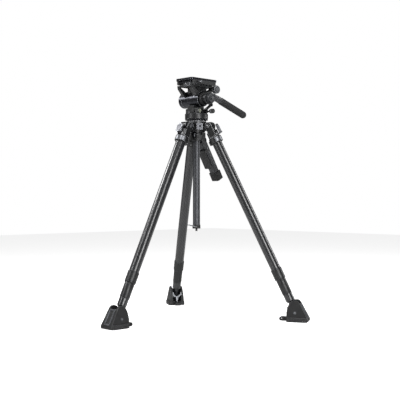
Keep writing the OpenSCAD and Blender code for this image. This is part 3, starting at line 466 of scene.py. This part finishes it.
for n in (1, 2, 3):
    finish_node(f"leg_{n}_latch", nickel, 0.0012)
    back = leg_frame(n).inverted()
    points = [back @ v.co for v in nodes[f"leg_{n}_latch"].data.vertices]
    face = min(p.x for p in points) + 0.004
    top, bottom = min(p.z for p in points), max(p.z for p in points)
    length = bottom - top
    width = max(p.y for p in points) - min(p.y for p in points)
    # +X of the oval runs down the leg and its +Z points away from the leg.
    outer = Matrix(((0, 0, -1, face), (0, 1, 0, 0), (1, 0, 0, (top + bottom) / 2), (0, 0, 0, 1)))
    rim = bmesh.new()
    stepped_oval(rim, length, width, [(0.002, -0.001), (0.002, 0.0004), (0.004, 0.0014), (0.007, 0.0014),
                                      (0.009, 0.0002)], outer)
    put_in(f"latch_{n}_rim", rim, nickel, f"latch_{n}", leg_frame(n))
    inlay = bmesh.new()
    stepped_oval(inlay, length, width, [(0.012, -0.0005), (0.012, 0.0007), (0.0135, 0.0011)], outer)
    put_in(f"latch_{n}_inlay", inlay, grey_nylon, f"latch_{n}", leg_frame(n))


# Column, its cap and the bag hook.
# The sliding column is a drawn aluminium tube, brushed along its length and anodised grey. A turned
# cap closes it, and a bent steel wire hook for a bag swings on the cap.
def drawn_tube(name, dark, light):
    """Anodised tube: a grey satin with fine lengthwise draw lines."""
    paint, tree, shader = shader_of(name)
    shader.inputs["Metallic"].default_value = 0.85
    # Draw lines are 0.1 mm apart on the real tube and are drawn at 1 mm, so that they show.
    lines = grain(tree, 0.001, 3.0, (1, 1, 0.02))
    tree.links.new(two_tones(tree, lines, 0.3, 0.7, dark, light), shader.inputs["Base Color"])
    uneven_gloss(tree, shader, lines, 0.38, 0.55)
    return paint


grey_tube = drawn_tube("drawn grey anodised tube", "#434447", "#525356")
finish_node("column_tube", grey_tube, 0.0005)
finish_node("column_cap", black_nylon, 0.001)
finish_node("column_hook", bright_steel, 0.0)

# A pale ring of plain marks runs round the head's seat, for lining the head up. Every third is tall.
seat_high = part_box("column_tube")[1]
seat_r, marks_z = seat_high.x, seat_high.z - 0.0034
marks = bmesh.new()
for k in range(36):
    a = 2 * math.pi * k / 36
    half_wide, half_tall = (0.0006, 0.0012) if k % 3 else (0.0009, 0.0021)
    along = (math.cos(a), math.sin(a), 0)
    extruded(marks, rounded_outline(half_wide, half_tall, 0.0003, 3), -0.0004, 0.0003,
             to_place(along, (seat_r * along[0], seat_r * along[1], marks_z)))
white_mark = moulded_nylon("white filled engraving", "#b9b9b9", "#d2d2d2", 0.6)
put_in("seat_marks", marks, white_mark, "column")


# Release handle.
# A box-section casting that hangs from the clamp, coated dark grey, with a nylon lever along its
# inner side and a flared rubber shoe on its end.
def moulded_rubber(name, dark, light, rough):
    """Moulded rubber: a dry, even black with a mould grain and dusty clouds."""
    paint, tree, shader = shader_of(name)
    body = two_tones(tree, grain(tree, 0.016, 5.0), 0.35, 0.7, dark, light)
    worn_corners(tree, shader, body, "#5c5c5e", 0.002)
    shader.inputs["IOR"].default_value = 1.52
    shader.inputs["Specular IOR Level"].default_value = 0.4
    # The mould grain is 0.4 mm on the real part and is drawn at 1.1 mm, so that it shows.
    skin = grain(tree, 0.0011, 3.0)
    uneven_gloss(tree, shader, skin, rough - 0.1, rough + 0.08)
    raised(tree, shader, skin, 0.35, 0.0003)
    return paint


black_rubber = moulded_rubber("black moulded rubber", "#101011", "#19191a", 0.66)
grey_coat = satin_coat("satin grey powder coat", "#222326", "#2d2e31", "#6b6c6f", 0.4)
finish_node("handle_arm", grey_coat, 0.0016)
finish_node("handle_tip", black_rubber, 0.0022)
finish_node("handle_trigger", black_nylon, 0.0009)
finish_node("clamp_lever", black_coat, 0.0014)

# Five plated ribs stand on each side of the arm, in a frame whose +Z runs down the arm.
tip_low, tip_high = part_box("handle_tip")
arm_low, arm_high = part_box("handle_arm")
arm_half = (arm_high.x - arm_low.x) / 2
arm_root = Vector(((arm_low.x + arm_high.x) / 2, 0.020, arm_high.z))
arm_end = Vector((arm_root.x, (tip_low.y + tip_high.y) / 2, (tip_low.z + tip_high.z) / 2))
arm_down = (arm_end - arm_root).normalized()
arm_side = Vector((1, 0, 0))
arm_place = Matrix((arm_side, arm_down.cross(arm_side), arm_down)).transposed().to_4x4()
arm_place = Matrix.Translation(arm_root) @ arm_place
ribs_start, ribs_step = 0.048, 0.017
pulls = bmesh.new()
for side in (-1, 1):
    outward = Matrix(((0, 0, side, 0), (0, 1, 0, 0), (1, 0, 0, 0), (0, 0, 0, 1)))
    for k in range(5):
        at = (side * (arm_half + 0.0001), 0, ribs_start + ribs_step * k)
        extruded(pulls, rounded_outline(0.0055, 0.0009, 0.0006), -0.0004, 0.0004,
                 Matrix.Translation(at) @ outward)
put_in("handle_ribs", pulls, nickel, "crown", arm_place)


# Carbon leg tubes.
# Each leg is three nested tubes of carbon cloth under clear epoxy, rolled and ground, so the weave
# lies a little below a gloss skin and each tube shows bright bands down its sides.
def carbon_cloth(name, place, radius):
    """2/2 twill wound round a tube: tows in two tones with a round crown, under clear resin."""
    paint, tree, shader = shader_of(name)
    back = place.inverted()
    spot = add(tree, "TexCoord")
    local = add(tree, "Mapping", {"Vector": spot.outputs["Object"], "Rotation": back.to_euler(),
                                  "Location": back.to_translation()})
    split = add(tree, "SeparateXYZ", {"Vector": local.outputs[0]})
    round_turn = add(tree, "Math", {0: split.outputs["Y"], 1: split.outputs["X"]}, operation="ARCTAN2")
    # Tows are 2 mm wide on the real cloth and are drawn 3.4 mm wide, so that they show.
    tow = 0.0034
    tows = round(2 * math.pi * radius / tow / 4) * 4
    across = add(tree, "Math", {0: round_turn.outputs[0], 1: tows / (2 * math.pi)}, operation="MULTIPLY")
    down = add(tree, "Math", {0: split.outputs["Z"], 1: 1 / tow}, operation="MULTIPLY")
    step_across = add(tree, "Math", {0: across.outputs[0]}, operation="FLOOR")
    step_down = add(tree, "Math", {0: down.outputs[0]}, operation="FLOOR")
    stair = add(tree, "Math", {0: step_across.outputs[0], 1: step_down.outputs[0]}, operation="ADD")
    cycle = add(tree, "Math", {0: stair.outputs[0], 1: 4.0}, operation="FLOORED_MODULO")
    over = add(tree, "Math", {0: cycle.outputs[0], 1: 1.5}, operation="GREATER_THAN")
    clouds = grain(tree, 0.05)
    warp = two_tones(tree, clouds, 0.3, 0.7, "#0e0f10", "#141517")
    weft = two_tones(tree, clouds, 0.3, 0.7, "#1e1f21", "#27282b")
    cloth = add(tree, "Mix", {0: over.outputs[0], 6: warp, 7: weft}, data_type="RGBA")
    tree.links.new(cloth.outputs[2], shader.inputs["Base Color"])
    crown_across = add(tree, "Math", {0: across.outputs[0], 1: 1.0}, operation="PINGPONG")
    crown_down = add(tree, "Math", {0: down.outputs[0], 1: 1.0}, operation="PINGPONG")
    crown_of = add(tree, "Mix", {0: over.outputs[0], 2: crown_across.outputs[0], 3: crown_down.outputs[0]})
    raised(tree, shader, crown_of.outputs[0], 0.15, 0.0003)
    uneven_gloss(tree, shader, grain(tree, 0.02, 4.0), 0.27, 0.4)
    shader.inputs["Coat Weight"].default_value = 0.55
    shader.inputs["Coat Roughness"].default_value = 0.16
    return paint


def widest(n, name):
    """The largest radius of a leg node about the leg's line."""
    back = leg_frame(n).inverted()
    return max(math.hypot(*(back @ v.co).xy) for v in nodes[name].data.vertices)


upper_r = 0.0188
for n in (1, 2, 3):
    cloth = carbon_cloth(f"carbon twill under epoxy, leg {n}", leg_frame(n), upper_r)
    for part in ("upper", "middle", "lower"):
        finish_node(f"leg_{n}_{part}", cloth, 0.0003)


# Leg locks and sleeves.
# At each overlap the tube ends in a turned collar and a glued sleeve, coated black. Thin dark
# anodised beads stand near their ends.
for n in (1, 2, 3):
    finish_node(f"leg_{n}_joint", black_coat, 0.0009)
    joint_top, joint_low = reach(n, f"leg_{n}_joint")
    joint_r = widest(n, f"leg_{n}_joint")
    beads = bmesh.new()
    for at in (joint_top + 0.004, joint_low - 0.006):
        ring_band(beads, joint_r + 0.0004, joint_r - 0.001, at - 0.0009, at + 0.0009, 0.0004)
    put_in(f"joint_{n}_beads", beads, dark_anodised, f"leg_{n}", leg_frame(n))
    sleeve_r = widest(n, f"leg_{n}_middle")
    sleeve_top = joint_low + 0.0008
    sleeve_low = reach(n, f"leg_{n}_middle")[1]
    sleeve = bmesh.new()
    ring_band(sleeve, sleeve_r + 0.0003, sleeve_r - 0.001, sleeve_top, sleeve_low - 0.0002, 0.0007)
    put_in(f"sleeve_{n}", sleeve, black_coat, f"middle_{n}", leg_frame(n))
    grooves = bmesh.new()
    for at in (sleeve_top + 0.009, sleeve_low - 0.009):
        ring_band(grooves, sleeve_r + 0.0007, sleeve_r - 0.0005, at - 0.0008, at + 0.0008, 0.0004)
    put_in(f"sleeve_{n}_beads", grooves, dark_anodised, f"middle_{n}", leg_frame(n))


# Feet.
# Each foot is a moulded rubber boot that rocks on a cross pin at the ankle. A steel clip holds it to
# the leg, and a pressed alloy frame stiffens its outer slope, with three rubber treads inside it.
def stepped_frame(shape, half_x, half_y, steps, place):
    """Adds a solid with round corners to a bmesh. Each step is (how much smaller, corner, height)."""
    stacked(shape, [(rounded_outline(half_x - less, half_y - less, corner), height)
                    for less, corner, height in steps], place)


boot_rubber = moulded_rubber("black moulded boot rubber", "#0f0f10", "#1a1a1b", 0.55)
for n in (1, 2, 3):
    finish_node(f"foot_{n}_boot", boot_rubber, 0.004)
    finish_node(f"foot_{n}_clip", nickel, 0.0008)
    ankle = Vector(joints[f"foot_{n}_tilt"]["pos_m"])
    outward = Vector((ankle.x, ankle.y, 0)).normalized()
    sideways = Vector((0, 0, 1)).cross(outward)
    foot_place = Matrix((outward, sideways, Vector((0, 0, 1)))).transposed().to_4x4()
    foot_place = Matrix.Translation(Vector((ankle.x, ankle.y, 0))) @ foot_place
    back = foot_place.inverted()
    points = [back @ v.co for v in nodes[f"foot_{n}_boot"].data.vertices]
    foot_out, foot_top = max(p.x for p in points), max(p.z for p in points)
    cheek_out = max(abs(p.y) for p in points if p.z > foot_top - 0.03)
    # The outer slope runs from the toe up to the boot's crest.
    toe = Vector((foot_out - 0.002, 0, 0.012))
    crest = Vector((foot_out - 0.034, 0, foot_top - 0.009))
    up_slope = (crest - toe).normalized()
    away = Vector((up_slope.z, 0, -up_slope.x))
    middle = (toe + crest) / 2
    slope = Matrix((up_slope, away.cross(up_slope), away)).transposed().to_4x4()
    slope = Matrix.Translation(middle) @ slope
    half_long = (crest - toe).length / 2
    rim = bmesh.new()
    stepped_frame(rim, half_long - 0.003, 0.0165,
                  [(0, 0.006, -0.002), (0, 0.006, 0.0012), (0.0012, 0.0052, 0.0022), (0.0052, 0.004, 0.0022),
                   (0.0062, 0.0036, -0.0012)], slope)
    put_in(f"foot_{n}_frame", rim, dull_alloy, f"foot_{n}", foot_place)
    treads = bmesh.new()
    for k in range(3):
        at = slope @ Matrix.Translation(Vector(((k - 1) * half_long * 0.5, 0, -0.0006)))
        extruded(treads, rounded_outline(0.0022, 0.0085, 0.0015), -0.0008, 0.0016, at)
    put_in(f"foot_{n}_treads", treads, black_rubber, f"foot_{n}", foot_place, 0.0006)
    # Domed hubs cover the ends of the ankle pin, with an alloy washer in each.
    hubs, washers = bmesh.new(), bmesh.new()
    for side in (-1, 1):
        lean = math.radians(5)
        at = to_place((0, side * math.cos(lean), math.sin(lean)), (0, side * (cheek_out - 0.0008), ankle.z))
        turned(hubs, [(0, -0.004), (0.0215, -0.004), (0.0215, 0.0002), (0.0203, 0.0014), (0.017, 0.0021),
                      (0.0095, 0.0024), (0.0085, 0.0016), (0, 0.0016)], 40, at)
        turned(washers, [(0, 0), (0.0068, 0), (0.0068, 0.0021), (0.006, 0.0026), (0.0035, 0.0026),
                         (0.0032, 0.002), (0, 0.002)], 32, at)
    put_in(f"foot_{n}_hubs", hubs, boot_rubber, f"foot_{n}", foot_place)
    put_in(f"foot_{n}_washers", washers, dull_alloy, f"foot_{n}", foot_place)
    # Two welts run round the sole.
    welt = bmesh.new()
    half_width = max(abs(p.y) for p in points)
    mid_x = (foot_out + min(p.x for p in points if abs(p.y) > 0.02)) / 2
    half_x = foot_out - mid_x
    for at in (0.006, 0.0115):
        extruded(welt, rounded_outline(half_x - 0.0008, half_width + 0.0006, 0.014), at - 0.0009, at + 0.0009,
                 Matrix.Translation((mid_x - 0.0016, 0, 0)))
    put_in(f"foot_{n}_welt", welt, black_rubber, f"foot_{n}", foot_place, 0.0004)


# Base and pan housing.
# The head stands on a turned aluminium base. Above it the cast pan housing carries the locks and a
# round level. Both are coated satin black, and the screws are plain steel.
for name in ("head_base", "pan_housing", "tilt_cradle", "clamp_platform"):
    finish_node(name, black_coat, 0.0009)
bronze = satin_metal("sintered bearing bronze", "#5c4526", "#7a5c34", "#9c7a4a", 0.5)
finish_node("pan_bearing", bronze, 0.0)

housing_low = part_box("pan_housing")[0]
screws = bmesh.new()
for x, radius in ((-0.0215, 0.0022), (-0.0085, 0.0036)):
    cap_screw(screws, to_place((0, -1, 0), (x, housing_low.y, housing_low.z + 0.00496)), radius, 0.0024)
put_in("housing_screws", screws, bright_steel, "pan_head")
recess = bmesh.new()
extruded(recess, rounded_outline(0.0075, 0.0048, 0.002), -0.001, 0.0007,
         to_place((0, -1, 0), (0.0115, housing_low.y, housing_low.z + 0.00796)))
put_in("housing_plug", recess, black_nylon, "pan_head", edge=0.0005)
base_low, base_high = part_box("head_base")
base_r = base_high.x
seam = bmesh.new()
for at in (base_low.z + 0.0035, base_low.z + 0.0225):
    ring_band(seam, base_r + 0.0003, base_r - 0.001, at - 0.0008, at + 0.0008, 0.0003)
put_in("base_beads", seam, dark_anodised, "column")


# Round level.
# A clear acrylic pot of pale liquid, set in a bright ring on the housing's side, with a printed aim
# ring on its face.
def clear_acrylic(name, dark, light):
    """Clear acrylic over pale liquid: glossy, with faint swirls."""
    paint, tree, shader = shader_of(name)
    tree.links.new(two_tones(tree, grain(tree, 0.004), 0.3, 0.7, dark, light), shader.inputs["Base Color"])
    shader.inputs["Roughness"].default_value = 0.06
    shader.inputs["IOR"].default_value = 1.49
    shader.inputs["Transmission Weight"].default_value = 0.35
    shader.inputs["Coat Weight"].default_value = 0.5
    return paint


def middle_line(name, x):
    """The place at x on the X line through a CAD node's middle, with +Z turned to run along it."""
    low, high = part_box(name)
    return to_place((1, 0, 0), (x, (low.y + high.y) / 2, (low.z + high.z) / 2))


def radius_of(name):
    """The radius of a round CAD node that lies along X."""
    low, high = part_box(name)
    return (high.z - low.z) / 2


level_paint = clear_acrylic("clear acrylic over pale liquid", "#8f9284", "#a8ab98")
finish_node("level_vial", level_paint, 0.0003)
vial_at = middle_line("level_vial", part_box("level_vial")[1].x)
vial_r = radius_of("level_vial")
ring = bmesh.new()
ring_band(ring, vial_r + 0.0012, vial_r - 0.0008, -0.0008, 0.0008, 0.0005)
put_in("level_ring", ring, bright_steel, "pan_head", vial_at)
aim = bmesh.new()
ring_band(aim, 0.0035, 0.0029, -0.0001, 0.0002, 0.0001)
put_in("level_circle", aim, black_nylon, "pan_head", vial_at)


# Drum.
# The tilt drum is turned from aluminium bar and anodised dark grey. Its middle third stays with the
# housing, and the two ends turn with the camera clamp. Bright chamfers mark the seams.
drum_grey = satin_metal("turned dark anodised aluminium", "#323337", "#424347", "#8c8d91", 0.33)
for name in ("tilt_drum", "drum_sides"):
    finish_node(name, drum_grey, 0.0007)
finish_node("tilt_axle", bright_steel, 0.0)
drum_low, drum_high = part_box("drum_sides")
drum_r = radius_of("drum_sides")
tilt_centre = Vector(joints["tilt"]["pos_m"])
rings = bmesh.new()
for x in (drum_low.x + 0.0165, drum_high.x - 0.0012):
    ring_band(rings, drum_r + 0.0003, drum_r - 0.0012, -0.0008, 0.0008, 0.0003,
              to_place((1, 0, 0), (x, tilt_centre.y, tilt_centre.z)))
put_in("drum_rings", rings, nickel, "tilt_body")
dome = bmesh.new()
turned(dome, [(0, -0.001), (0.0052, -0.001), (0.0052, 0.0003), (0.0046, 0.0012), (0.003, 0.0019),
              (0, 0.0022)], 32,
       to_place((0, -0.25, 1), (-0.030, tilt_centre.y - drum_r * 0.24, tilt_centre.z + drum_r * 0.965)))
put_in("drum_plug", dome, nickel, "tilt_body")


# Drag dial, its button and the rosette.
# The dial is a ribbed ring of black nylon that sets the tilt drag. The rosette is a toothed disc
# that the pan bar bolts to, with one bright steel bolt through it.
def lobed_outline(radius, depth, count, steps=6):
    """A round outline with evenly spaced ribs."""
    points = []
    for k in range(count * steps):
        a = 2 * math.pi * k / (count * steps)
        wave = 0.5 + 0.5 * math.cos(2 * math.pi * (k % steps) / steps)
        r = radius - depth * (1 - wave) ** 2
        points.append((r * math.cos(a), r * math.sin(a)))
    return points


def ribbed_solid(shape, outline, steps, place):
    """Adds a ribbed solid to a bmesh. Each step is (size against the outline, height)."""
    stacked(shape, [([(x * size, y * size) for x, y in outline], height) for size, height in steps], place)


finish_node("drag_ring", black_nylon, 0.0009)
finish_node("drag_button", nickel, 0.0008)
finish_node("rosette", black_coat, 0.0008)
finish_node("bar_bolt", bright_steel, 0.0006)
finish_node("bar_clamp", grey_coat, 0.0014)
dial_ribs = lobed_outline(radius_of("drag_ring") + 0.0006, 0.0009, 28)
dial = bmesh.new()
ribbed_solid(dial, dial_ribs, [(0.965, 0.0), (1, 0.0009), (1, 0.0071), (0.965, 0.008)],
             to_place((1, 0, 0), (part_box("drag_ring")[0].x + 0.0022, tilt_centre.y, tilt_centre.z)))
put_in("drag_grips", dial, black_nylon, "drag_dial")
rosette_ribs = lobed_outline(radius_of("rosette") + 0.0004, 0.0008, 40, 4)
teeth = bmesh.new()
ribbed_solid(teeth, rosette_ribs, [(0.97, 0.0), (1, 0.0007), (1, 0.0033), (0.97, 0.004)],
             to_place((1, 0, 0), (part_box("rosette")[1].x - 0.006, tilt_centre.y, tilt_centre.z)))
put_in("rosette_teeth", teeth, dark_anodised, "tilt_body")


# Pan bar grip.
# A slip-on foam rubber grip on the bar: matt, dark and slightly open in texture, with round ends.
def foam_rubber(name):
    """Foam rubber: fully matt, with small open cells, painted darker in their pits as painted shade."""
    paint, tree, shader = shader_of(name)
    # Cells are 0.5 mm on the real foam and are drawn at 1.3 mm, so that they show.
    place = add(tree, "TexCoord")
    cells = add(tree, "TexVoronoi", {"Vector": place.outputs["Object"], "Scale": 1 / 0.0013})
    depth = cells.outputs["Distance"]
    # The cells' pits are painted darker and their rims lighter: painted shade in the pits.
    tree.links.new(two_tones(tree, depth, 0.15, 0.7, "#0f0f10", "#1c1c1e"), shader.inputs["Base Color"])
    uneven_gloss(tree, shader, depth, 0.72, 0.95)
    raised(tree, shader, depth, 0.45, 0.0004)
    return paint


grip_foam = foam_rubber("black foam rubber")
finish_node("bar_grip", grip_foam, 0.002)


# Pan and tilt locks.
# The pan lock is a ribbed nylon knob with a light band round it, on a steel stud. The tilt lock is a
# coated die-cast lever.
finish_node("pan_lock_knob", black_nylon, 0.0008)
finish_node("tilt_lock_lever", black_coat, 0.002)
pan_knob_r = radius_of("pan_lock_knob")
pan_knob_at = middle_line("pan_lock_knob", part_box("pan_lock_knob")[1].x)
ribs = bmesh.new()
ribbed_solid(ribs, lobed_outline(pan_knob_r + 0.0005, 0.0009, 16),
             [(0.94, -0.0165), (1, -0.0155), (1, -0.0015), (0.92, -0.0003)], pan_knob_at)
put_in("pan_knob_ribs", ribs, black_nylon, "pan_lock")
band = bmesh.new()
ring_band(band, pan_knob_r + 0.0009, pan_knob_r - 0.001, -0.0098, -0.0078, 0.0004, pan_knob_at)
put_in("pan_knob_band", band, nickel, "pan_lock")


# Camera plate and its clamp.
# The long sliding plate is milled aluminium, anodised dark, with bright chamfers. Two ribbed rubber
# pads and a steel camera screw are let into it. A ribbed alloy knob locks it at the side, and a push
# button lets it go.
plate_grey = satin_metal("milled dark anodised aluminium", "#2c2d30", "#3b3c40", "#a3a4a8", 0.3)
finish_node("sliding_plate", plate_grey, 0.0011)
finish_node("camera_screw", bright_steel, 0.0)


def ribbed_rubber(name):
    """Rubber pad: matt black with straight ribs across it, painted darker in the grooves as painted shade and
    lighter on the crests as painted light.
    """
    paint, tree, shader = shader_of(name)
    pitch = 0.0026
    place = add(tree, "TexCoord")
    rib_relief_and_shade = add(tree, "TexWave", {"Vector": place.outputs["Object"], "Scale": 1 / pitch / 3.1416},
                  bands_direction="Y").outputs["Fac"]
    # The grooves between the ribs are painted darker as painted shade, and the crests lighter as painted
    # light.
    tree.links.new(two_tones(tree, rib_relief_and_shade, 0.2, 0.8, "#101011", "#242425"), shader.inputs["Base Color"])
    shader.inputs["Roughness"].default_value = 0.8
    raised(tree, shader, rib_relief_and_shade, 0.6, 0.0006)
    return paint


finish_node("plate_pads", ribbed_rubber("ribbed black rubber"), 0.0004)
finish_node("plate_knob", nickel, 0.0012)
finish_node("release_button", grey_coat, 0.0008)
lock_r = radius_of("plate_knob")
lock_at = middle_line("plate_knob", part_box("plate_knob")[1].x)
rim = bmesh.new()
ribbed_solid(rim, lobed_outline(lock_r + 0.0004, 0.0012, 20),
             [(0.93, -0.0105), (1, -0.0092), (1, -0.0018), (0.95, -0.0003)], lock_at)
put_in("plate_knob_ribs", rim, nickel, "plate_lock")
knob_ring = bmesh.new()
ring_band(knob_ring, lock_r * 0.72, lock_r * 0.56, -0.0006, 0.0004, 0.0004, lock_at)
put_in("plate_knob_ring", knob_ring, black_nylon, "plate_lock")

# Two screws and three plated ribs stand on the clamp's front face.
deck_low, deck_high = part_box("clamp_platform")
front_y = deck_low.y + 0.0012
corner_screws = bmesh.new()
for x in (deck_low.x + 0.009, 0.004):
    cap_screw(corner_screws, to_place((0, -1, 0), (x, front_y, deck_high.z - 0.0125)), 0.0023, 0.0018)
put_in("platform_screws", corner_screws, bright_steel, "tilt_body")
inset = bmesh.new()
for k in range(3):
    extruded(inset, rounded_outline(0.0165, 0.0012, 0.0007), -0.0002, 0.0009,
             to_place((0, -1, 0), (0.015, front_y, deck_low.z + 0.0045 + 0.0046 * k)))
put_in("front_ribs", inset, nickel, "tilt_body")

push_low, push_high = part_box("release_button")
push_face = (push_high.x, (push_low.y + push_high.y) / 2, (push_low.z + push_high.z) / 2)
push = bmesh.new()
stacked(push, [(oval_outline(0.0115, 0.0052), -0.0006), (oval_outline(0.0115, 0.0052), 0.0003),
               (oval_outline(0.0098, 0.0036), 0.0008)],
        Matrix.Translation(push_face) @ Matrix(((0, 0, 1, 0), (1, 0, 0, 0), (0, 1, 0, 0), (0, 0, 0, 1))))
put_in("release_inlay", push, nickel, "plate_release")


# Clamp window and tension mark.
# A dark anodised frame with an oval plated tension mark is let into the column clamp's front. Its +Z
# points out of the clamp and its +Y points up.
clamp_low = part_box("column_clamp")[0]
look = math.radians(-66)
out_x, out_y = math.cos(look), math.sin(look)
clamp_r = -clamp_low.x
window_at = Matrix(((-out_y, 0, out_x, clamp_r * out_x), (out_x, 0, out_y, clamp_r * out_y),
                    (0, 1, 0, clamp_low.z + 0.022), (0, 0, 0, 1)))
window = bmesh.new()
stepped_frame(window, 0.009, 0.0115, [(0, 0.003, -0.003), (0, 0.003, 0.0008), (0.0012, 0.0026, 0.0013),
                                      (0.0024, 0.002, 0.0013), (0.0026, 0.002, 0.0002)], window_at)
put_in("clamp_window", window, dark_anodised, "crown")
insert = bmesh.new()
upright = [(y, x) for x, y in oval_outline(0.0135, 0.006)]
ribbed_solid(insert, upright, [(1, -0.001), (1, 0.0008), (0.8, 0.0014)], window_at)
put_in("clamp_insert", insert, nickel, "crown")
